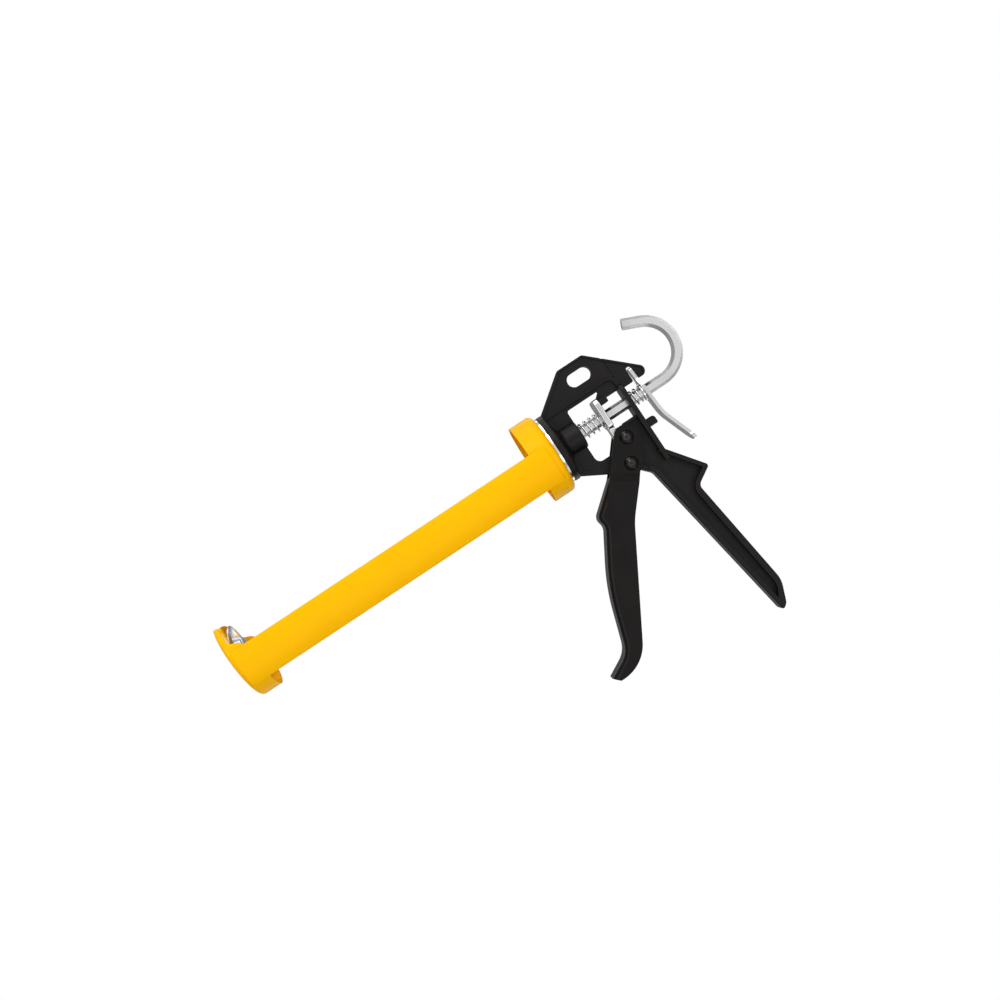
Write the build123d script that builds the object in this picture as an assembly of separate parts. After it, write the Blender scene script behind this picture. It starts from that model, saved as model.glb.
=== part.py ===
from build123d import *
import os
from math import cos, hypot, radians, sin, sqrt, tan

# Caulking gun with a revolving open cradle. Millimetres.
# Origin: the rod axis at the front face of the frame's flange. +X runs along the rod towards the hook,
# +Z is up and away from the handle, and Y is the width. The cradle lies on the -X side.

# ---- Driving dimensions ----

# Clearances
FIXED_GAP = 0.05         # between pieces that are welded, screwed or pressed together
RUNNING = 0.06           # radial, on pins and the cradle's hub
FACE_GAP = 0.1           # between flat faces that turn or slide on each other
SEAT_GAP = 0.1           # between a part and what it rests on
ROD_CLEARANCE = 0.4      # radial, between the rod's corners and the holes it slides in

# Cradle
CRADLE_LENGTH = 251.2    # outside of the front cup to the back of the collar
CRADLE_RADIUS = 28.7     # outside of the cup and of the collar
SHEET = 1.5
RAIL_SHEET = 1.3
RAIL_TOP_ANGLE = 12.2    # above the horizontal
RAIL_BOTTOM_ANGLE = -41.2
RAIL_FRONT_SETBACK = 3.6
RAIL_REAR_SETBACK = 5.6
RAIL_CORNER = 3.0
COLLAR_DEPTH = 16.8
COLLAR_CORNER = 4.0
CUP_CORNER = 3.2
CUP_DEPTH = 15.0
CUP_LEAN = 2.7           # degrees that the cup's front and rear edge lean forwards at the top
CUP_LIP_DEPTH = 4.9      # depth of the rim that runs up each prong
PRONG_HEIGHT = 24.8
PRONG_CORNER = 2.6
CUP_SHOULDER_HEIGHT = 11.8
NOZZLE_SLOT_RADIUS = 8.0

# Cradle bearing
THRUST_WASHER_INSET = 4.5     # inside the collar's outer radius
THRUST_WASHER = 1.3
FRICTION_WASHER_RADIUS = 14.0
FRICTION_WASHER = 1.0
BARREL_NUT_FLATS = 27.0
BARREL_NUT_HEIGHT = 5.0
HUB_RADIUS = 9.0
HUB_END = 1.2            # how far the hub stands past the nut

# Rod and plunger
ROD_FLATS = 6.9
HOOK_START = 86.8
HOOK_RADIUS = 21.15      # of the rod's middle line
HOOK_TURN = 156.5        # degrees
HOOK_END = 12.8
STUD_RADIUS = 3.0
STUD_END = 0.9
PLUNGER_CLEARANCE = 4.9  # radial, to the inside of the cup and the collar
PLUNGER_CROWN_RADIUS = 15.5
PLUNGER_DISH = 3.2
PLUNGER_SHEET = 1.2
PLUNGER_GAP = 0.6        # plunger to the inside of the front cup, fully forward
BACKING_RIM_RADIUS = 14.5
BACKING_CROWN_RADIUS = 12.0
BACKING_HEIGHT = 6.8
PLUNGER_NUT_FLATS = 10.0
PLUNGER_NUT_HEIGHT = 3.0

# Frame casting
FLANGE_INSET = 4.1       # inside the collar's outer radius
FLANGE = 4.4
FLANGE_CONE_RADIUS = 19.5
FLANGE_CONE = 3.6
BOSS_RADIUS = 10.2
BOSS_END = 20.5          # also the front edge of the web's window
WEB = 5.6                # thickness of the thin web
UPPER_PLATE = 7.4        # thickness above the top rib
RIB_WIDTH = 9.6          # thickness across the ribs and raised edges
RIB = 1.5
RIB_TOP = 21.4
RIB_CORNER = 7.0
PEAK_HEIGHT = 43.2
PEAK_FRONT = 29.6
PEAK_REAR = 49.1
NOSE_END = 81.3
NOSE_HEIGHT = 13.5
NOSE_FOOT = 9.5
HANG_SLOT_CENTRE = (40.1, 32.0)
HANG_SLOT_LENGTH = 17.6
HANG_SLOT_HEIGHT = 9.65
WALL_REAR = 60.8
WALL = 3.4
WALL_WIDTH = 19.4
WALL_TOP = 13.0
WALL_FOOT = -46.0
WINDOW_TOP = 17.2
WINDOW_BOTTOM = -23.3
WINDOW_CORNER = 4.5
TOOTH_FOOT = 7.7
TOOTH = 6.1
TOOTH_WIDTH = 13.0
BAY_TOP = 10.5
BAY_BOTTOM = -9.9
LEVER_SLOT = 4.4
LEVER_SLOT_TOP = 19.8
PIVOT_BOSS_RADIUS = 7.6
PEG_HEIGHT = -19.2
PEG = 6.0
PEG_LENGTH = 7.0
HANDLE_WIDTH = 16.0
HANDLE_ROUND = 1.6
HANDLE_FRONT_RIM = 3.2
HANDLE_REAR_RIM = 4.4
EJECTOR_MARK_RADIUS = 3.6
EJECTOR_MARK = 0.5

# Trigger, rivets and drive plate
PIVOT = (36.9, -35.0)
DRIVE_PIN = (43.7, -18.9)
PIVOT_RADIUS = 3.0
DRIVE_PIN_RADIUS = 2.4
RIVET_HEAD_RADIUS = 4.85
RIVET_HEAD = 2.9
TRIGGER_SHEET = 1.8
EAR_INSIDE = 13.4        # clear width between the ears
EAR_RADIUS = 8.4
GRIP_WIDTH = 23.0        # outside width of the trigger below the ears
FLARE_START = 6.8        # distances along the trigger from its pivot
FLARE_END = 12.5
TRIGGER_EDGE_ROUND = 4.2
DRIVE_PLATE = 4.3
DRIVE_PLATE_WIDTH = 22.0
DRIVE_PLATE_TOP = 13.6
DRIVE_PLATE_SHOULDER = -7.8
DRIVE_TAIL_CLEARANCE = 1.3   # from the tail to each ear
DRIVE_TAIL_END = -21.6
DRIVE_SPRING_CLEARANCE = 1.0     # from the rod's corners to the inside of the coil
DRIVE_SPRING_WIRE = 1.3
DRIVE_SPRING_TURNS = 4.2

# Release lever
LEVER = 2.2
LEVER_WIDTH = 17.0
LEVER_TONGUE_WIDTH = 9.0
LEVER_SHOULDERS = (9.5, 5.0)     # heights where the tongue starts to widen and where it is full width
LEVER_TOP = (71.0, 18.5)
LEVER_BEND = (73.4, -18.5)
LEVER_TIP = (83.0, -44.5)
LEVER_BEND_RADIUS = 30.0
LEVER_HOLE_CLEARANCE = 0.9       # radial, round the rod's corners
RELEASE_SPRING_CLEARANCE = 0.7
RELEASE_SPRING_WIRE = 1.2
RELEASE_SPRING_TURNS = 2.6
RELEASE_WASHER_BAND = 1.4        # width of its ring
RELEASE_WASHER = 0.9

# ---- Sizes that follow ----

ROD_CORNER_RADIUS = ROD_FLATS / sqrt(3)
ROD_HOLE_RADIUS = ROD_CORNER_RADIUS + ROD_CLEARANCE
LEVER_HOLE_RADIUS = ROD_CORNER_RADIUS + LEVER_HOLE_CLEARANCE
DRIVE_SPRING_RADIUS = ROD_CORNER_RADIUS + DRIVE_SPRING_CLEARANCE + DRIVE_SPRING_WIRE / 2
RELEASE_SPRING_RADIUS = ROD_CORNER_RADIUS + RELEASE_SPRING_CLEARANCE + RELEASE_SPRING_WIRE / 2
RELEASE_WASHER_RADIUS = LEVER_HOLE_RADIUS - SEAT_GAP + RELEASE_WASHER_BAND

PLUNGER_RADIUS = CRADLE_RADIUS - SHEET - PLUNGER_CLEARANCE
THRUST_WASHER_RADIUS = CRADLE_RADIUS - THRUST_WASHER_INSET
FLANGE_RADIUS = CRADLE_RADIUS - FLANGE_INSET
DRIVE_TAIL_WIDTH = EAR_INSIDE - 2 * DRIVE_TAIL_CLEARANCE

RAIL_OUTSIDE = CRADLE_RADIUS + FIXED_GAP + RAIL_SHEET
RAIL_TOP = RAIL_OUTSIDE * sin(radians(RAIL_TOP_ANGLE))

COLLAR_REAR = -THRUST_WASHER - 2 * FACE_GAP
COLLAR_FRONT = COLLAR_REAR - COLLAR_DEPTH
CUP_FRONT = COLLAR_REAR - CRADLE_LENGTH
FRICTION_WASHER_REAR = COLLAR_REAR - SHEET - FACE_GAP
BARREL_NUT_REAR = FRICTION_WASHER_REAR - FRICTION_WASHER - FACE_GAP
HUB_FRONT = BARREL_NUT_REAR - BARREL_NUT_HEIGHT - HUB_END

CROWN_FRONT = CUP_FRONT + SHEET + PLUNGER_CROWN_RADIUS * tan(radians(CUP_LEAN)) + PLUNGER_GAP
BACKING_FRONT = CROWN_FRONT + PLUNGER_SHEET
BACKING_REAR = BACKING_FRONT + BACKING_HEIGHT

DRIVE_PLATE_REAR = DRIVE_PIN[0] - DRIVE_PIN_RADIUS - SEAT_GAP
DRIVE_PLATE_FRONT = DRIVE_PLATE_REAR - DRIVE_PLATE
TOOTH_FRONT = DRIVE_PLATE_REAR + SEAT_GAP
WALL_FRONT = WALL_REAR - WALL
TRIGGER_DIRECTION = (-0.574, -0.819)


# ---- Shape helpers ----

def side_prism(outline, width):
    """Extrude a closed side-view outline (x, z) to both sides of the middle plane."""
    return extrude(Plane.XZ * make_face(outline), amount=width / 2, both=True)


def polygon_prism(corners, width):
    """Extrude a straight-edged side-view polygon to both sides of the middle plane."""
    return side_prism(Polyline(*corners, close=True), width)


def rounded_prism(corners, radii, width):
    """Extrude a side-view polygon with one radius at each corner."""
    return side_prism(FilletPolyline(*corners, radius=radii, close=True), width)


def turned(outline):
    """Turn a closed outline of (x, radius) about the rod axis."""
    return revolve(make_face(outline), Axis.X)


def ring(start, end, outer, inner):
    """A flat ring or tube about the rod axis, from x = start to x = end."""
    return turned(Polyline((start, inner), (end, inner), (end, outer), (start, outer), close=True))


def cross_cylinder(place, radius, width):
    """A cylinder across the frame, centred on the side-view point place."""
    return Pos(place[0], 0, place[1]) * Rot(90, 0, 0) * Cylinder(radius, width)


def hex_nut(start, height, flats, hole_radius):
    """A hexagonal nut about the rod axis with turned corners."""
    corner_radius = flats / sqrt(3)
    turned_off = corner_radius - flats / 2
    blank = Plane.YZ.offset(start) * RegularPolygon(corner_radius, 6)
    blank = extrude(blank, amount=height)
    envelope = turned(Polyline(
        (start, hole_radius), (start, flats / 2), (start + turned_off, corner_radius),
        (start + height - turned_off, corner_radius), (start + height, flats / 2),
        (start + height, hole_radius), close=True))
    return blank & envelope


def inset(corners, radii, distances):
    """Move the edges of a closed outline inwards; edge i runs from corner i to the next one.

    Returns the new corners and radii: an outside corner's radius shrinks, an inside one's grows.
    """
    count = len(corners)
    area = sum(corners[i][0] * corners[(i + 1) % count][1] - corners[(i + 1) % count][0] * corners[i][1]
               for i in range(count))
    turn = 1 if area > 0 else -1
    units = []
    for i in range(count):
        (x0, z0), (x1, z1) = corners[i], corners[(i + 1) % count]
        length = hypot(x1 - x0, z1 - z0)
        units.append(((x1 - x0) / length, (z1 - z0) / length))
    moved, new_radii = [], []
    for i in range(count):
        (ax, az), (bx, bz) = units[i - 1], units[i]
        cross = ax * bz - az * bx
        before, after = distances[i - 1], distances[i]
        x = corners[i][0] + turn * (before * bx - after * ax) / cross
        z = corners[i][1] + turn * (before * bz - after * az) / cross
        moved.append((x, z))
        outside = cross * turn > 0
        change = -max(before, after, 0) if outside else max(before, after)
        new_radii.append(max(radii[i] + change, 0))
    return moved, new_radii


def coil(start, end, mean_radius, wire, turns):
    """A coil spring about the rod axis with its ends ground flat."""
    length = end - start
    pitch = length / turns
    path = Helix(pitch, length, mean_radius)
    section = Plane(path @ 0, z_dir=path % 0) * Circle(wire / 2)
    spring = sweep(section, path=path, is_frenet=True)
    spring = Pos(start, 0, 0) * Rot(0, 90, 0) * spring
    return spring & ring(start, end, mean_radius + wire, mean_radius - wire)


def rivet(place, shank_radius, grip):
    """A rivet across the frame with a domed head on each side."""
    dome_radius = (RIVET_HEAD_RADIUS ** 2 + RIVET_HEAD ** 2) / (2 * RIVET_HEAD)
    half = grip / 2
    outline = [
        Polyline((0, 0), (half + RIVET_HEAD, 0)),
        RadiusArc((half + RIVET_HEAD, 0), (half, RIVET_HEAD_RADIUS), -dome_radius),
        Polyline((half, RIVET_HEAD_RADIUS), (half, shank_radius), (0, shank_radius), (0, 0)),
    ]
    side = turned(outline)
    return Pos(place[0], 0, place[1]) * Rot(0, 0, 90) * (side + mirror(side, Plane.YZ))


# ---- Cradle ----

def make_front_cup():
    """Pressed cup: a low round wall, a front plate with the nozzle slot, and two prongs."""
    rear = CUP_FRONT + CUP_DEPTH
    lip = CUP_FRONT + CUP_LIP_DEPTH
    outside = CRADLE_RADIUS + 5
    before = CUP_FRONT - 5

    def plug(front, depth, radius, corner):
        """A round plug with leaning ends and a rounded front edge."""
        leaning = Pos(front, 0, 0) * Rot(0, -CUP_LEAN, 0) * Pos(depth / 2, 0, 0) * Box(
            depth, 2 * outside, 2 * outside)
        solid = leaning & ring(before, rear + depth, radius, 0)
        return fillet(solid.edges().filter_by(GeomType.LINE, reverse=True).sort_by(Axis.X)[0], corner)

    shell = plug(CUP_FRONT, CUP_DEPTH, CRADLE_RADIUS, CUP_CORNER) - plug(
        CUP_FRONT + SHEET, 2 * CUP_DEPTH, CRADLE_RADIUS - SHEET, CUP_CORNER - SHEET)
    side_view = rounded_prism(
        [(before, PRONG_HEIGHT), (lip - 1.6, PRONG_HEIGHT), (lip + 0.2, CUP_SHOULDER_HEIGHT),
         (rear - 3.2, RAIL_TOP + 2.6), (rear + 3, RAIL_TOP - 4.0), (rear + 3, -outside), (before, -outside)],
        [0, PRONG_CORNER, 2.5, 2.5, 0, 0, 0], 2 * outside)
    front_view = Plane.YZ.offset(before) * make_face(FilletPolyline(
        (-outside, -outside), (outside, -outside), (outside, PRONG_HEIGHT - 8),
        (12.5, PRONG_HEIGHT), (NOZZLE_SLOT_RADIUS, PRONG_HEIGHT), (NOZZLE_SLOT_RADIUS, -NOZZLE_SLOT_RADIUS),
        (-NOZZLE_SLOT_RADIUS, -NOZZLE_SLOT_RADIUS), (-NOZZLE_SLOT_RADIUS, PRONG_HEIGHT),
        (-12.5, PRONG_HEIGHT), (-outside, PRONG_HEIGHT - 8),
        radius=[0, 0, 0, 3, 2, NOZZLE_SLOT_RADIUS - 0.1, NOZZLE_SLOT_RADIUS - 0.1, 2, 3, 0], close=True))
    return shell & side_view & extrude(front_view, amount=CUP_DEPTH + 10)


def make_rail(side):
    """One curved side strip; side is -1 for the left of the gun and 1 for the right."""
    inner = CRADLE_RADIUS + FIXED_GAP
    outer = inner + RAIL_SHEET
    front, rear = CUP_FRONT + RAIL_FRONT_SETBACK, COLLAR_REAR - RAIL_REAR_SETBACK
    reach = 2 * outer
    wedge = Plane.YZ.offset(front) * make_face(Polyline(
        (0, 0), (side * reach * cos(radians(RAIL_TOP_ANGLE)), reach * sin(radians(RAIL_TOP_ANGLE))),
        (side * reach * cos(radians(RAIL_BOTTOM_ANGLE)), reach * sin(radians(RAIL_BOTTOM_ANGLE))), close=True))
    strip = ring(front, rear, outer, inner) & extrude(wedge, amount=rear - front)
    corners = strip.edges().filter_by(lambda e: abs(e.length - RAIL_SHEET) < 0.01)
    return fillet(corners, RAIL_CORNER)


def make_rear_collar():
    """Drawn ring with a closed back that turns on the hub."""
    inner = CRADLE_RADIUS - SHEET
    hole = HUB_RADIUS + RUNNING
    plate = COLLAR_REAR - SHEET
    return turned(FilletPolyline(
        (COLLAR_FRONT, inner), (COLLAR_FRONT, CRADLE_RADIUS), (COLLAR_REAR, CRADLE_RADIUS),
        (COLLAR_REAR, hole), (plate, hole), (plate, inner),
        radius=[0, 0, COLLAR_CORNER, 0, 0, COLLAR_CORNER - SHEET], close=True))


# ---- Cradle bearing ----

def make_thrust_washer():
    return ring(COLLAR_REAR + FACE_GAP, -FACE_GAP, THRUST_WASHER_RADIUS, HUB_RADIUS + FIXED_GAP)


def make_friction_washer():
    """Slightly dished spring washer between the collar's back plate and the nut."""
    front, rear = BARREL_NUT_REAR + FACE_GAP, FRICTION_WASHER_REAR
    hole, thin = HUB_RADIUS + FIXED_GAP, 0.6 * FRICTION_WASHER
    return turned(Polyline(
        (front, hole), (front + thin, hole), (rear, FRICTION_WASHER_RADIUS),
        (rear - thin, FRICTION_WASHER_RADIUS), close=True))


def make_barrel_nut():
    return hex_nut(BARREL_NUT_REAR - BARREL_NUT_HEIGHT, BARREL_NUT_HEIGHT, BARREL_NUT_FLATS,
                   HUB_RADIUS + FIXED_GAP)


# ---- Frame casting ----

def make_flange():
    """Front hub, flange disc, cone and spring boss, turned about the rod axis."""
    return turned(FilletPolyline(
        (HUB_FRONT, 0), (HUB_FRONT, HUB_RADIUS), (0, HUB_RADIUS), (0, FLANGE_RADIUS),
        (FLANGE, FLANGE_RADIUS), (FLANGE, FLANGE_CONE_RADIUS), (FLANGE + FLANGE_CONE, BOSS_RADIUS),
        (BOSS_END, BOSS_RADIUS), (BOSS_END, 0),
        radius=[0, 0.6, 0, 0.9, 0.9, 1.5, 2.5, 1.3, 0], close=True))


def make_upper_plate():
    """The hanging eye and the nose, with raised outer edges and the slot for the lever's top."""
    slot_front = LEVER_TOP[0] - LEVER_SLOT / 2
    slot_rear = LEVER_TOP[0] + LEVER_SLOT / 2
    foot = RIB_TOP - RIB
    corners = [
        (FLANGE - 1, FLANGE_RADIUS - 1.2), (PEAK_FRONT, PEAK_HEIGHT), (PEAK_REAR, PEAK_HEIGHT),
        (NOSE_END, NOSE_HEIGHT), (NOSE_END - 3.8, NOSE_FOOT), (slot_rear, NOSE_FOOT),
        (slot_rear, LEVER_SLOT_TOP), (slot_front, LEVER_SLOT_TOP), (slot_front, NOSE_FOOT),
        (WALL_REAR - 1, NOSE_FOOT), (WALL_REAR - 1, foot), (FLANGE - 1, foot)]
    radii = [0, 2, 3, 4, 2, 1, 1.8, 1.8, 1, 0, 0, 0]
    inner_corners, inner_radii = inset(
        corners[:5] + [(FLANGE - 1, -BOSS_RADIUS)], radii[:5] + [0], [2.2, 1.2, 1.3, 1.3, -3, -3])
    plate = rounded_prism(corners, radii, UPPER_PLATE)
    edge = rounded_prism(corners, radii, RIB_WIDTH) - rounded_prism(inner_corners, inner_radii, 2 * RIB_WIDTH)
    eye = Pos(HANG_SLOT_CENTRE[0], 0, HANG_SLOT_CENTRE[1]) * Rot(90, 0, 0) * extrude(
        SlotOverall(HANG_SLOT_LENGTH, HANG_SLOT_HEIGHT), amount=RIB_WIDTH, both=True)
    groove = Pos(WALL_FRONT + 1.4, 0, RIB_TOP + 7) * Box(1.4, 2 * RIB_WIDTH, 14)
    groove -= Pos(WALL_FRONT + 1.4, 0, RIB_TOP + 7) * Box(3, UPPER_PLATE - 1.4, 20)
    return plate + edge - eye - groove


def make_web():
    """Thin web with the window that the drive plate and the drive rivet work in."""
    tooth_rear = TOOTH_FRONT + TOOTH
    front = FLANGE - 1
    web = polygon_prism(
        [(front, RIB_TOP - 0.5), (WALL_REAR - 1, RIB_TOP - 0.5), (WALL_REAR - 1, WALL_FOOT - 6),
         (PIVOT[0] + 10, -48), (PIVOT[0] + 4, PIVOT[1] - PIVOT_BOSS_RADIUS),
         (PIVOT[0] - 1, PIVOT[1] - PIVOT_BOSS_RADIUS), (20, -32.7), (front, -23.3)], WEB)
    window = rounded_prism(
        [(BOSS_END, WINDOW_TOP), (TOOTH_FRONT + 4.3, WINDOW_TOP), (TOOTH_FRONT, 13.2),
         (TOOTH_FRONT, TOOTH_FOOT), (tooth_rear, TOOTH_FOOT), (tooth_rear, BAY_TOP),
         (WALL_FRONT + 1, BAY_TOP), (WALL_FRONT + 1, BAY_BOTTOM),
         (tooth_rear, BAY_BOTTOM), (tooth_rear, WINDOW_BOTTOM),
         (BOSS_END - 1.6, WINDOW_BOTTOM), (BOSS_END - 1.6, -BOSS_RADIUS),
         (BOSS_END, 1.6 - BOSS_RADIUS)],
        [2, 0.5, 1, 0.5, 0.8, 0.8, 0, 0, 0.8, 3, WINDOW_CORNER, 1, 0], 2 * WEB)
    return web - window


def make_rear_wall():
    """Upright wall across the frame that the rod slides through, with the lever's stop peg."""
    wall = Pos((WALL_FRONT + WALL_REAR) / 2, 0, (WALL_TOP + WALL_FOOT) / 2) * Box(
        WALL, WALL_WIDTH, WALL_TOP - WALL_FOOT)
    wall = fillet(wall.faces().sort_by(Axis.Z)[-1].edges().filter_by(Axis.X), 5)
    wall = fillet(wall.faces().sort_by(Axis.X)[-1].edges(), 0.7)
    low, high = PEG_HEIGHT - PEG / 2, PEG_HEIGHT + PEG / 2
    tip = WALL_REAR + PEG_LENGTH
    peg = rounded_prism([(WALL_REAR - 1, low), (tip, low), (tip, high), (WALL_REAR - 1, high)],
                        [0, 1, 2.4, 0], 1.2 * PEG)
    return wall + peg


def make_ribs():
    """Top rib that bends down into the rear wall, the bay's lower rib and the stop tooth."""
    foot = RIB_TOP - RIB
    top_rib = rounded_prism(
        [(FLANGE - 1, RIB_TOP), (WALL_REAR, RIB_TOP), (WALL_REAR, 5), (WALL_FRONT, 5), (WALL_FRONT, foot),
         (FLANGE - 1, foot)],
        [0, RIB_CORNER, 0, 0, RIB_CORNER - 2, 0], RIB_WIDTH)
    tooth_rear = TOOTH_FRONT + TOOTH
    bay_rib = polygon_prism(
        [(tooth_rear, BAY_BOTTOM), (WALL_FRONT + 1, BAY_BOTTOM), (WALL_FRONT + 1, BAY_BOTTOM - 2),
         (tooth_rear, BAY_BOTTOM - 2)], RIB_WIDTH)
    tooth = rounded_prism(
        [(TOOTH_FRONT, TOOTH_FOOT), (tooth_rear, TOOTH_FOOT), (tooth_rear, 12), (TOOTH_FRONT, 12)],
        [0.5, 0.8, 0, 1], TOOTH_WIDTH)
    return top_rib + bay_rib + tooth


def make_handle():
    """Fixed handle: an I-section with a thumb rest at the back and a pointed foot."""
    corners = [
        (WALL_REAR - 1.2, -37.5), (79.9, -64.3), (66.8, -72.3), (77.9, -154.5), (72.0, -169.6),
        (67.6, -172.6), (46.5, -48.6), (36, -37.5)]
    radii = [0, 2, 4.5, 18, 6, 1.6, 5, 0]
    rims = [3.0, 3.4, HANDLE_REAR_RIM, 3.0, HANDLE_FRONT_RIM, HANDLE_FRONT_RIM, -9]
    handle = rounded_prism(corners, radii, HANDLE_WIDTH)
    sides = handle.faces().filter_by(Axis.Y)
    handle = fillet(sides.edges(), HANDLE_ROUND)
    pocket_corners, pocket_radii = inset(corners[:4] + corners[5:], radii[:4] + radii[5:], rims)
    pocket = rounded_prism(pocket_corners, pocket_radii, 2 * HANDLE_WIDTH)
    web_slab = Pos(60, 0, -105) * Box(200, WEB, 200)
    ear_space = cross_cylinder(PIVOT, 12.5, 2 * HANDLE_WIDTH) - cross_cylinder(PIVOT, 20, EAR_INSIDE - 1)
    return handle - (pocket - web_slab) - ear_space


def make_frame_casting():
    casting = make_web() + make_flange() + make_upper_plate() + make_ribs() + make_rear_wall() + make_handle()
    casting += cross_cylinder(PIVOT, PIVOT_BOSS_RADIUS, EAR_INSIDE - 2 * FACE_GAP)
    for place in ((13.2, 15.2), (12.2, -19.8), (68.0, -143.5)):
        casting += cross_cylinder(place, EJECTOR_MARK_RADIUS, WEB + 2 * EJECTOR_MARK)
    casting -= cross_cylinder(PIVOT, PIVOT_RADIUS + FIXED_GAP, 2 * EAR_INSIDE)
    return casting - ring(HUB_FRONT - 1, WALL_REAR + 1, ROD_HOLE_RADIUS, 0)


# ---- Rod and plunger ----

def make_hook_rod():
    """Hexagonal rod with a threaded front end and a hook bent up at the back."""
    turn = radians(HOOK_TURN)
    bend_end = (HOOK_START + HOOK_RADIUS * sin(turn), HOOK_RADIUS * (1 - cos(turn)))
    hook_end = (bend_end[0] + HOOK_END * cos(turn), bend_end[1] + HOOK_END * sin(turn))
    straight = Line((BACKING_REAR, 0), (HOOK_START, 0))
    bend = CenterArc((HOOK_START, HOOK_RADIUS), HOOK_RADIUS, -90, HOOK_TURN)
    end = Line(bend_end, hook_end)
    path = Plane.XZ * (straight + bend + end)
    section = Plane.YZ.offset(BACKING_REAR) * RegularPolygon(ROD_CORNER_RADIUS, 6, rotation=90)
    rod = sweep(section, path=path)
    stud_front = CROWN_FRONT - PLUNGER_NUT_HEIGHT - STUD_END
    return rod + ring(stud_front, BACKING_REAR, STUD_RADIUS, 0)


def make_plunger_disc():
    """Dished disc with its rim turned back, fixed on the rod's stud."""
    hole = STUD_RADIUS + FIXED_GAP
    rim = CROWN_FRONT + PLUNGER_DISH
    slope = PLUNGER_RADIUS - 0.8
    return turned(FilletPolyline(
        (CROWN_FRONT, hole), (CROWN_FRONT, PLUNGER_CROWN_RADIUS), (rim, slope), (rim + 1.6, PLUNGER_RADIUS),
        (rim + 1.6, PLUNGER_RADIUS - PLUNGER_SHEET), (rim + 0.9, slope - PLUNGER_SHEET),
        (BACKING_FRONT, PLUNGER_CROWN_RADIUS - 0.4), (BACKING_FRONT, hole),
        radius=[0, 3, 1.5, 0, 0, 0.5, 2, 0], close=True))


def make_plunger_backing():
    """Cone-shaped cup that spreads the rod's push over the disc's crown."""
    hole = STUD_RADIUS + FIXED_GAP
    rear_inside = BACKING_REAR - PLUNGER_SHEET
    return turned(FilletPolyline(
        (BACKING_FRONT, BACKING_RIM_RADIUS), (BACKING_REAR, BACKING_CROWN_RADIUS), (BACKING_REAR, hole),
        (rear_inside, hole), (rear_inside, BACKING_CROWN_RADIUS - PLUNGER_SHEET),
        (BACKING_FRONT, BACKING_RIM_RADIUS - PLUNGER_SHEET),
        radius=[0, 1.8, 0, 0, 0.6, 0], close=True))


def make_plunger_nut():
    return hex_nut(CROWN_FRONT - PLUNGER_NUT_HEIGHT, PLUNGER_NUT_HEIGHT, PLUNGER_NUT_FLATS,
                   STUD_RADIUS + FIXED_GAP)


# ---- Drive ----

def make_trigger():
    """Stamped channel: two ears, a flare, a finger guard and a curled tip, open towards the handle."""
    pin_x, pin_z = DRIVE_PIN
    corners = [
        (19.3, -35.2), (-2.8, -53.4), (-1.0, -60.8), (-21.6, -95.5), (-35.5, -138.0), (-52.4, -147.0),
        (-48.2, -151.0), (-30.2, -150.8), (17.5, -67.6), (40, -41.6), (47.6, -34.6),
        (pin_x + 1.21 * EAR_RADIUS, pin_z + 0.51 * EAR_RADIUS),
        (pin_x - 0.23 * EAR_RADIUS, pin_z + 1.28 * EAR_RADIUS)]
    ear_round = EAR_RADIUS - 0.3
    radii = [0, 6, 7, 150, 17, 0, 0, 27, 60, 15, 4, ear_round, ear_round]
    open_edge = -9
    walls = [TRIGGER_SHEET] * 5 + [open_edge] * 7 + [TRIGGER_SHEET]
    inner_corners, inner_radii = inset(corners, radii, walls)
    inner_radii = inner_radii[:5] + [0] * 8
    web_top = corners[0]
    mouth = polygon_prism(
        [(web_top[0] - 2, web_top[1] + 1.7), (web_top[0] + 9, web_top[1] - 7.7), PIVOT,
         (PIVOT[0] + 20, PIVOT[1] + 40), (PIVOT[0] - 20, PIVOT[1] + 40)], EAR_INSIDE)

    def channel(outline_corners, outline_radii, ear_width, grip_width, edge_round):
        """A filled trigger shape with rounded front edges and the flare from ear to grip width."""
        solid = rounded_prism(outline_corners, outline_radii, grip_width)
        (x0, z0), (x1, z1) = outline_corners[3], outline_corners[4]
        middle = ((x0 + x1) / 2, (z0 + z1) / 2)
        seeds = [solid.edges().sort_by_distance((middle[0], side * grip_width / 2, middle[1]))[0]
                 for side in (-1, 1)]
        solid = fillet(seeds, edge_round)
        along, across = TRIGGER_DIRECTION, (-TRIGGER_DIRECTION[1], TRIGGER_DIRECTION[0])
        plane = Plane(origin=(PIVOT[0], 0, PIVOT[1]), x_dir=(along[0], 0, along[1]),
                      z_dir=(across[0], 0, across[1]))
        ear, grip = ear_width / 2, grip_width / 2
        widths = plane * make_face(Polyline(
            (-60, -ear), (FLARE_START, -ear), (FLARE_END, -grip), (200, -grip), (200, grip),
            (FLARE_END, grip), (FLARE_START, ear), (-60, ear), close=True))
        return solid & extrude(widths, amount=90, both=True)

    outer = channel(corners, radii, EAR_INSIDE + 2 * TRIGGER_SHEET, GRIP_WIDTH, TRIGGER_EDGE_ROUND)
    inner = channel(inner_corners, inner_radii, EAR_INSIDE, GRIP_WIDTH - 2 * TRIGGER_SHEET,
                    TRIGGER_EDGE_ROUND - TRIGGER_SHEET)
    pivot_hole = cross_cylinder(PIVOT, PIVOT_RADIUS + RUNNING, 2 * GRIP_WIDTH)
    pin_hole = cross_cylinder(DRIVE_PIN, DRIVE_PIN_RADIUS + FIXED_GAP, 2 * GRIP_WIDTH)
    return outer - inner - mouth - pivot_hole - pin_hole


def make_pivot_rivet():
    return rivet(PIVOT, PIVOT_RADIUS, EAR_INSIDE + 2 * TRIGGER_SHEET + 2 * FACE_GAP)


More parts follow.
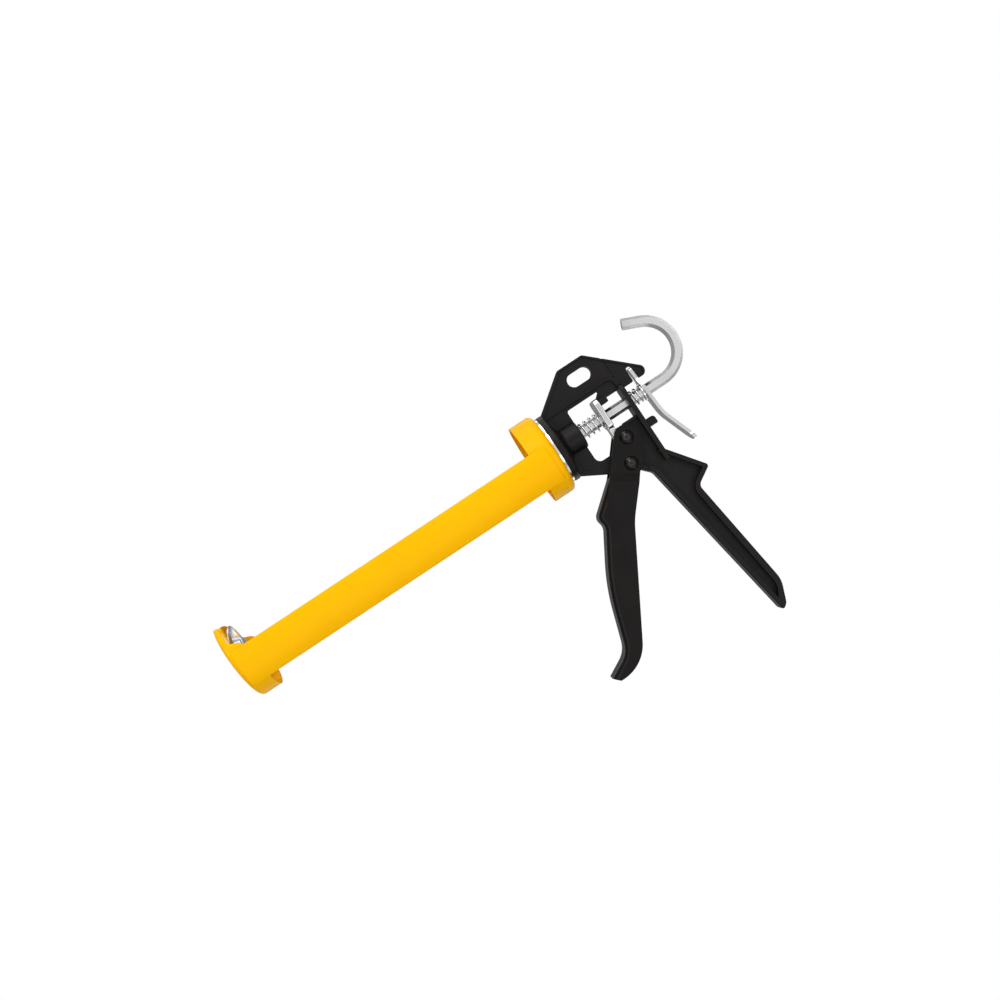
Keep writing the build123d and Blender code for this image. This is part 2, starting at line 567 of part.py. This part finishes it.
def make_drive_rivet():
    return rivet(DRIVE_PIN, DRIVE_PIN_RADIUS, EAR_INSIDE + 2 * TRIGGER_SHEET + 2 * FIXED_GAP)


def make_drive_plate():
    """Thick gripping plate: wide at the rod, with a narrow tail down to the drive rivet."""
    wide, narrow = DRIVE_PLATE_WIDTH / 2, DRIVE_TAIL_WIDTH / 2
    outline = FilletPolyline(
        (-wide, DRIVE_PLATE_TOP), (wide, DRIVE_PLATE_TOP), (wide, DRIVE_PLATE_SHOULDER),
        (narrow, DRIVE_PLATE_SHOULDER), (narrow, DRIVE_TAIL_END), (-narrow, DRIVE_TAIL_END),
        (-narrow, DRIVE_PLATE_SHOULDER), (-wide, DRIVE_PLATE_SHOULDER),
        radius=[4, 4, 2, 1.5, 2, 2, 1.5, 2], close=True)
    plate = extrude(Plane.YZ.offset(DRIVE_PLATE_FRONT) * make_face(outline), amount=DRIVE_PLATE)
    plate = fillet(plate.faces().sort_by(Axis.X)[0].edges(), 0.9)
    plate = fillet(plate.faces().sort_by(Axis.X)[-1].edges(), 0.9)
    return plate - ring(DRIVE_PLATE_FRONT - 1, DRIVE_PLATE_REAR + 1, ROD_HOLE_RADIUS, 0)


def make_drive_spring():
    return coil(BOSS_END + SEAT_GAP, DRIVE_PLATE_FRONT - SEAT_GAP, DRIVE_SPRING_RADIUS, DRIVE_SPRING_WIRE,
                DRIVE_SPRING_TURNS)


# ---- Release lever ----

def make_release_lever():
    """Bent thumb strip; its top sits in the nose's slot and the rod passes through it."""
    side_view = trace(FilletPolyline(LEVER_TOP, LEVER_BEND, LEVER_TIP, radius=LEVER_BEND_RADIUS), LEVER)
    strip = extrude(Plane.XZ * side_view, amount=LEVER_WIDTH / 2, both=True)
    half, low, high = LEVER_WIDTH / 2, LEVER_TIP[1] - 0.3, LEVER_TOP[1]
    tongue, (narrow, wide) = LEVER_TONGUE_WIDTH / 2, LEVER_SHOULDERS
    front_view = Plane.YZ.offset(LEVER_TOP[0] - 10) * make_face(FilletPolyline(
        (-tongue, high), (tongue, high), (tongue, narrow), (half, wide), (half, low), (-half, low),
        (-half, wide), (-tongue, narrow), radius=[1.5, 1.5, 2, 3, 6, 6, 3, 2], close=True))
    lever = strip & extrude(front_view, amount=30)
    return lever - ring(LEVER_TOP[0] - 10, LEVER_TOP[0] + 10, LEVER_HOLE_RADIUS, 0)


def lever_front_at(height):
    """Where the lever's front face stands at a height above its bend."""
    lean = (LEVER_BEND[0] - LEVER_TOP[0]) / (LEVER_TOP[1] - LEVER_BEND[1])
    return LEVER_TOP[0] + lean * (LEVER_TOP[1] - height) - LEVER / 2


def make_release_washer():
    rear = lever_front_at(RELEASE_WASHER_RADIUS) - SEAT_GAP
    return ring(rear - RELEASE_WASHER, rear, RELEASE_WASHER_RADIUS, LEVER_HOLE_RADIUS - SEAT_GAP)


def make_release_spring():
    end = lever_front_at(RELEASE_WASHER_RADIUS) - RELEASE_WASHER - 2 * SEAT_GAP
    return coil(WALL_REAR + SEAT_GAP, end, RELEASE_SPRING_RADIUS, RELEASE_SPRING_WIRE, RELEASE_SPRING_TURNS)


PIECES = {
    "front_cup": make_front_cup,
    "left_rail": lambda: make_rail(-1),
    "right_rail": lambda: make_rail(1),
    "rear_collar": make_rear_collar,
    "thrust_washer": make_thrust_washer,
    "friction_washer": make_friction_washer,
    "barrel_nut": make_barrel_nut,
    "frame_casting": make_frame_casting,
    "pivot_rivet": make_pivot_rivet,
    "hook_rod": make_hook_rod,
    "plunger_disc": make_plunger_disc,
    "plunger_backing": make_plunger_backing,
    "plunger_nut": make_plunger_nut,
    "trigger": make_trigger,
    "drive_rivet": make_drive_rivet,
    "drive_plate": make_drive_plate,
    "drive_spring": make_drive_spring,
    "release_lever": make_release_lever,
    "release_spring": make_release_spring,
    "release_washer": make_release_washer,
}

os.makedirs("parts", exist_ok=True)
for name, make in PIECES.items():
    export_step(make(), f"parts/{name}.step")
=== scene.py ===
"""Caulking gun: finishes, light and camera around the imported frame.

Everything is in metres in the row frame: the origin is on the rod axis at the flange's front face, +X runs
towards the hook and +Z away from the handle.
"""

import logging
import math
from dataclasses import dataclass, field
from enum import Enum
from typing import Any

import bpy
from mathutils import Matrix, Vector


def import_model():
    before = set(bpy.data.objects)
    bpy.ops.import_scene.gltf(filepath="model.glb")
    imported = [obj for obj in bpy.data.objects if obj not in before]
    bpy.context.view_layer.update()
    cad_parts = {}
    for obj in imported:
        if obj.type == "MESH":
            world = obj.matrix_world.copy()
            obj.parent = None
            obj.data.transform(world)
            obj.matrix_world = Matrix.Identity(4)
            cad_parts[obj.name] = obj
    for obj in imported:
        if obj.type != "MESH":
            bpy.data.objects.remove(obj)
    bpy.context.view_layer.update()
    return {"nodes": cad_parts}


LOG = logging.getLogger("caulking_gun")


# ---- Node building ----


class Value:
    """A shader socket that takes part in ordinary arithmetic."""

    def __init__(self, tree: "Tree", socket: bpy.types.NodeSocket) -> None:
        """Wrap an output socket of a tree."""
        self.tree = tree
        self.socket = socket

    def _math(self, operation: str, *terms: Any) -> "Value":
        """Add one Math node.

        Args:
            operation: The Math node's operation.
            terms: Values or numbers, in the order of the node's sockets.

        Returns:
            The node's result.
        """
        sockets = dict(enumerate(terms))
        return self.tree.node("ShaderNodeMath", {"operation": operation}, sockets)

    def __add__(self, other: Any) -> "Value":
        """Sum."""
        return self._math("ADD", self, other)

    def __radd__(self, other: Any) -> "Value":
        """Sum with a number on the left."""
        return self._math("ADD", other, self)

    def __sub__(self, other: Any) -> "Value":
        """Difference."""
        return self._math("SUBTRACT", self, other)

    def __rsub__(self, other: Any) -> "Value":
        """Difference from a number on the left."""
        return self._math("SUBTRACT", other, self)

    def __mul__(self, other: Any) -> "Value":
        """Product."""
        return self._math("MULTIPLY", self, other)

    def __rmul__(self, other: Any) -> "Value":
        """Product with a number on the left."""
        return self._math("MULTIPLY", other, self)

    def size(self) -> "Value":
        """The value without its sign."""
        return self._math("ABSOLUTE", self)

    def step(self, low: float, high: float) -> "Value":
        """Rise smoothly from 0 to 1 as the value goes from low to high.

        Args:
            low: Value where the rise starts.
            high: Value where it ends.

        Returns:
            The smooth step.
        """
        settings = {"interpolation_type": "SMOOTHSTEP"}
        return self.tree.node("ShaderNodeMapRange", settings, {0: self, 1: low, 2: high, 3: 0.0, 4: 1.0})


class Tree:
    """The node tree of one material or of the world."""

    def __init__(self, owner: bpy.types.Material | bpy.types.World) -> None:
        """Clear the owner's nodes and keep its tree."""
        owner.use_nodes = True
        self.nodes = owner.node_tree.nodes
        self.links = owner.node_tree.links
        self.nodes.clear()

    def node(self, kind: str, settings: dict[str, Any] | None = None,
             inputs: dict[int | str, Any] | None = None, output: int | str = 0) -> Value:
        """Add one node.

        Args:
            kind: The node's type.
            settings: Attributes of the node, set before its sockets.
            inputs: Values, numbers, colours or vectors by socket name or number.
            output: The output socket that is returned.

        Returns:
            The chosen output.
        """
        new = self.nodes.new(kind)
        for name, setting in (settings or {}).items():
            setattr(new, name, setting)
        for name, given in (inputs or {}).items():
            if isinstance(given, Value):
                self.links.new(given.socket, new.inputs[name])
            else:
                new.inputs[name].default_value = given
        return Value(self, new.outputs[output])

    def place(self, scale: tuple[float, float, float] = (1.0, 1.0, 1.0)) -> Value:
        """Object coordinates in metres, scaled along each axis."""
        where = self.node("ShaderNodeTexCoord", output="Object")
        if scale == (1.0, 1.0, 1.0):
            return where
        return self.node("ShaderNodeMapping", None, {"Vector": where, "Scale": scale})

    def noise(self, where: Value, scale: float, detail: float = 2.0, roughness: float = 0.5) -> Value:
        """Noise about 0.5.

        Args:
            where: The coordinates.
            scale: Features per metre.
            detail: Octaves.
            roughness: How strong the fine octaves are.

        Returns:
            The noise value.
        """
        return self.node("ShaderNodeTexNoise", None,
                         {"Vector": where, "Scale": scale, "Detail": detail, "Roughness": roughness})

    def blend(self, share: Any, first: Any, second: Any) -> Value:
        """Mix two colours by a share from 0 to 1."""
        settings = {"data_type": "RGBA", "clamp_factor": True}
        return self.node("ShaderNodeMix", settings, {0: share, 6: first, 7: second}, output=2)

    def bump(self, height: Value, strength: float, distance: float) -> Value:
        """A normal bent by a height, whose whole range is distance metres."""
        return self.node("ShaderNodeBump", None,
                         {"Height": height, "Strength": strength, "Distance": distance}, output="Normal")

    def finish(self, **sockets: Any) -> None:
        """Add the Principled shader with its sockets by name, underscores for spaces, and the output."""
        named = {name.replace("_", " "): given for name, given in sockets.items()}
        shader = self.node("ShaderNodeBsdfPrincipled", None, named)
        self.node_output(shader)

    def node_output(self, shader: Value, kind: str = "ShaderNodeOutputMaterial") -> None:
        """Join a shader to the material's or the world's output."""
        out = self.nodes.new(kind)
        self.links.new(shader.socket, out.inputs["Surface"])


Colour = tuple[float, float, float, float]
ROUGHNESS_DROP = 0.04  # keeps a finish's mean roughness near its stated one, once the noise is added


# ---- Finishes ----


@dataclass(frozen=True)
class PowderCoat:
    """Powder coat with a faint orange-peel skin."""

    name: str = "yellow_powder_coat"
    colour: Colour = (0.93, 0.475, 0.0, 1.0)
    deep: Colour = (0.92, 0.45, 0.0, 1.0)
    roughness: float = 0.34
    roughness_spread: float = 0.06
    gloss: float = 0.05
    peel_per_metre: float = 420.0
    patches_per_metre: float = 130.0
    clouds_per_metre: float = 18.0

    def make(self) -> bpy.types.Material:
        """Build the material."""
        material = bpy.data.materials.new(self.name)
        tree = Tree(material)
        where = tree.place()
        peel = tree.noise(where, self.peel_per_metre, 2.0, 0.45)
        cloud = tree.noise(where, self.clouds_per_metre, 2.0)
        tree.finish(
            Base_Color=tree.blend(cloud.step(0.35, 0.75), self.colour, self.deep),
            Roughness=self.roughness + self.roughness_spread * tree.noise(where, self.patches_per_metre),
            Specular_IOR_Level=self.gloss,
            Normal=tree.bump(peel, 0.2, 0.00005))
        return material


@dataclass(frozen=True)
class BlackCoat:
    """Satin black coat over metal, a little paler in faint clouds."""

    name: str = "black_coat"
    colour: Colour = (0.0042, 0.0033, 0.0030, 1.0)
    roughness: float = 0.36
    grain: float = 0.00004
    gloss: float = 0.3
    paler_by: float = 1.5
    roughness_spread: float = 0.1
    grains_per_metre: float = 900.0
    clouds_per_metre: float = 60.0

    def make(self) -> bpy.types.Material:
        """Build the material."""
        material = bpy.data.materials.new(self.name)
        tree = Tree(material)
        where = tree.place()
        grain = tree.noise(where, self.grains_per_metre, 3.0, 0.55)
        cloud = tree.noise(where, self.clouds_per_metre, 2.0)
        paler = tuple(self.paler_by * c for c in self.colour[:3]) + (1.0,)
        tree.finish(
            Base_Color=tree.blend(cloud.step(0.4, 0.8), self.colour, paler),
            Roughness=self.roughness - ROUGHNESS_DROP + self.roughness_spread * cloud,
            Specular_IOR_Level=self.gloss,
            Normal=tree.bump(grain, 0.3, self.grain))
        return material


@dataclass(frozen=True)
class BrightZinc:
    """Bright zinc plate, streaked along one axis or, with equal line counts, evenly mottled."""

    name: str = "bright_zinc"
    colour: Colour = (0.82, 0.825, 0.82, 1.0)
    roughness: float = 0.16
    lines: tuple[float, float, float] = (6.0, 200.0, 200.0)
    relief: float = 0.00002
    darker_by: float = 0.86
    roughness_spread: float = 0.08
    clouds_per_metre: float = 40.0

    def make(self) -> bpy.types.Material:
        """Build the material."""
        material = bpy.data.materials.new(self.name)
        tree = Tree(material)
        streak = tree.noise(tree.place(self.lines), 8.0, 3.0, 0.6)
        cloud = tree.noise(tree.place(), self.clouds_per_metre, 2.0)
        darker = tuple(self.darker_by * c for c in self.colour[:3]) + (1.0,)
        tree.finish(
            Base_Color=tree.blend(cloud.step(0.45, 0.8), self.colour, darker),
            Metallic=1.0,
            Roughness=self.roughness - ROUGHNESS_DROP + self.roughness_spread * streak,
            Normal=tree.bump(streak, 0.1, self.relief))
        return material


class Finish(Enum):
    """The finishes that the pieces take."""

    YELLOW = PowderCoat()
    CAST_BLACK = BlackCoat("black_casting_coat", roughness=0.44, grain=0.00004, gloss=0.2)
    SHEET_BLACK = BlackCoat("black_sheet_coat", roughness=0.30, grain=0.00002, gloss=0.18)
    RIVET_BLACK = BlackCoat("black_rivet_coat", roughness=0.22, grain=0.00001, gloss=0.35)
    ROD = BrightZinc("zinc_rod", roughness=0.24)
    PLATE = BrightZinc("zinc_plate", roughness=0.22, lines=(60.0, 60.0, 60.0), relief=0.000005)
    PLUNGER = BrightZinc("zinc_plunger", colour=(0.72, 0.77, 0.83, 1.0), roughness=0.28,
                         lines=(40.0, 40.0, 40.0), relief=0.00001)
    SPRING = BrightZinc("zinc_spring", colour=(0.80, 0.80, 0.79, 1.0), roughness=0.18,
                        lines=(60.0, 60.0, 60.0))


class Finishes:
    """Makes each finish once."""

    def __init__(self) -> None:
        """Start with nothing made."""
        self._made: dict[Finish, bpy.types.Material] = {}

    def dress(self, obj: bpy.types.Object, finish: Finish) -> None:
        """Give an object one finish all over."""
        if finish not in self._made:
            self._made[finish] = finish.value.make()
        obj.data.materials.clear()
        obj.data.materials.append(self._made[finish])


# ---- Sub-assemblies ----


@dataclass
class CadNodes:
    """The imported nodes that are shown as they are, with the finish of each."""

    finishes: Finishes
    coats: dict[str, Finish] = field(default_factory=lambda: {
        "front_cup": Finish.YELLOW, "left_rail": Finish.YELLOW, "right_rail": Finish.YELLOW,
        "rear_collar": Finish.YELLOW, "thrust_washer": Finish.PLATE, "friction_washer": Finish.PLATE,
        "barrel_nut": Finish.PLATE, "frame_casting": Finish.CAST_BLACK, "pivot_rivet": Finish.RIVET_BLACK,
        "hook_rod": Finish.ROD, "plunger_disc": Finish.PLUNGER, "plunger_backing": Finish.PLUNGER,
        "plunger_nut": Finish.PLATE, "trigger": Finish.SHEET_BLACK, "drive_rivet": Finish.RIVET_BLACK,
        "drive_plate": Finish.PLATE, "drive_spring": Finish.SPRING, "release_lever": Finish.PLATE,
        "release_spring": Finish.SPRING, "release_washer": Finish.PLATE})

    def dress(self, nodes: dict[str, bpy.types.Object]) -> None:
        """Dress every node."""
        for name, coat in self.coats.items():
            self.finishes.dress(nodes[name], coat)
            LOG.info("%s: %s", name, coat.name.lower())


@dataclass
class Studio:
    """Camera, soft light and pale floor."""

    aim: tuple[float, float, float] = (-0.049, 0.0, -0.0074)
    distance: float = 0.943
    yaw: float = math.radians(1.6)
    roll: float = math.radians(33.5)
    shown_width: float = 1.0 / 1.5
    sensor: float = 36.0
    clip_end: float = 20.0
    floor_height: float = -1.0
    floor_half: float = 0.5
    white: Colour = (1.0, 1.0, 1.0, 1.0)
    ahead_light: float = 0.7
    slant_light: float = 2.0
    across_light: float = 0.32
    overhead_light: float = 2.5
    behind_shade: float = 0.7
    slant_edge: tuple[float, float] = (0.62, 0.72)
    ahead_edge: tuple[float, float] = (0.86, 0.94)
    behind_edge: tuple[float, float] = (0.74, 0.90)
    overhead_edge: tuple[float, float] = (0.92, 0.96)
    floor_colour: Colour = (0.85, 0.85, 0.85, 1.0)
    floor_roughness: float = 0.9

    def axes(self) -> tuple[Vector, Vector, Vector]:
        """The picture's right and up and the view direction, in the row frame."""
        view = Vector((math.sin(self.yaw), math.cos(self.yaw), 0.0))
        level = Vector((math.cos(self.yaw), -math.sin(self.yaw), 0.0))
        upright = Vector((0.0, 0.0, 1.0))
        right = math.cos(self.roll) * level - math.sin(self.roll) * upright
        up = math.sin(self.roll) * level + math.cos(self.roll) * upright
        return right, up, view

    def camera(self) -> None:
        """Place the camera and make it the scene's."""
        right, up, view = self.axes()
        place = Vector(self.aim) - self.distance * view
        data = bpy.data.cameras.new("camera")
        data.sensor_width = self.sensor
        data.lens = self.sensor * self.distance / self.shown_width
        data.clip_end = self.clip_end
        camera = bpy.data.objects.new("camera", data)
        bpy.context.scene.collection.objects.link(camera)
        turn = Matrix((right, up, -view)).transposed().to_4x4()
        camera.matrix_world = Matrix.Translation(place) @ turn
        bpy.context.scene.camera = camera

    def softbox(self, name: str, sideways: float, upwards: float, forwards: float, size: float,
                power: float) -> None:
        """Add a square soft light that faces the object.

        Args:
            name: The light's name.
            sideways: Place along the picture's right, from the object's middle.
            upwards: Place along the picture's up.
            forwards: Place towards the camera.
            size: Side of the square.
            power: Watts.
        """
        right, up, view = self.axes()
        place = Vector(self.aim) + sideways * right + upwards * up - forwards * view
        data = bpy.data.lights.new(name, "AREA")
        data.shape = "SQUARE"
        data.size = size
        data.energy = power
        light = bpy.data.objects.new(name, data)
        bpy.context.scene.collection.objects.link(light)
        facing = (Vector(self.aim) - place).to_track_quat("-Z", "Y")
        light.matrix_world = Matrix.Translation(place) @ facing.to_matrix().to_4x4()

    def world(self) -> None:
        """White behind the object; round it, panels to the front and the back, and one overhead.

        Each surface mirrors the world by how far it is turned from the camera, so bands by the share of
        Y in a direction put soft bright and dark lines along every rounded edge. The side behind the object
        is darker, which shades the faces that are seen edge on.
        """
        world = bpy.data.worlds.new("studio")
        bpy.context.scene.world = world
        tree = Tree(world)
        toward = tree.node("ShaderNodeTexCoord", output="Generated")
        apart = {name: tree.node("ShaderNodeSeparateXYZ", None, {0: toward}, output=name) for name in "YZ"}
        overhead = apart["Z"].step(*self.overhead_edge)
        slant = apart["Y"].size().step(*self.slant_edge)
        ahead = apart["Y"].size().step(*self.ahead_edge)
        panels = (self.slant_light - self.across_light) * slant
        panels = panels - (self.slant_light - self.ahead_light) * ahead
        behind = apart["Y"].step(*self.behind_edge)
        walls = (self.across_light + panels) * (1.0 - self.behind_shade * behind)
        around = tree.node("ShaderNodeBackground", None,
                           {"Color": self.white, "Strength": walls + self.overhead_light * overhead})
        seen = tree.node("ShaderNodeBackground", None, {"Color": self.white, "Strength": 1.0})
        to_camera = tree.node("ShaderNodeLightPath", output="Is Camera Ray")
        shader = tree.node("ShaderNodeMixShader", None, {0: to_camera, 1: around, 2: seen})
        tree.node_output(shader, "ShaderNodeOutputWorld")
        bpy.context.scene.view_settings.view_transform = "Standard"

    def floor(self) -> None:
        """Lay a plain pale floor below the object."""
        bpy.ops.mesh.primitive_plane_add(size=2.0 * self.floor_half, location=(0.0, 0.0, self.floor_height))
        floor = bpy.context.object
        floor.name = "floor"
        material = bpy.data.materials.new("pale_floor")
        tree = Tree(material)
        tree.finish(Base_Color=self.floor_colour, Roughness=self.floor_roughness)
        floor.data.materials.append(material)

    def build(self) -> None:
        """Set up the whole studio."""
        self.camera()
        self.world()
        self.floor()
        self.softbox("key", sideways=-0.5, upwards=0.9, forwards=0.9, size=0.35, power=4.0)


def main() -> None:
    """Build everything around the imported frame."""
    logging.basicConfig(level=logging.INFO, format="%(message)s")
    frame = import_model()
    bpy.ops.object.select_all(action="DESELECT")
    finishes = Finishes()
    CadNodes(finishes).dress(frame["nodes"])
    Studio().build()


if __name__ == "__main__":
    main()
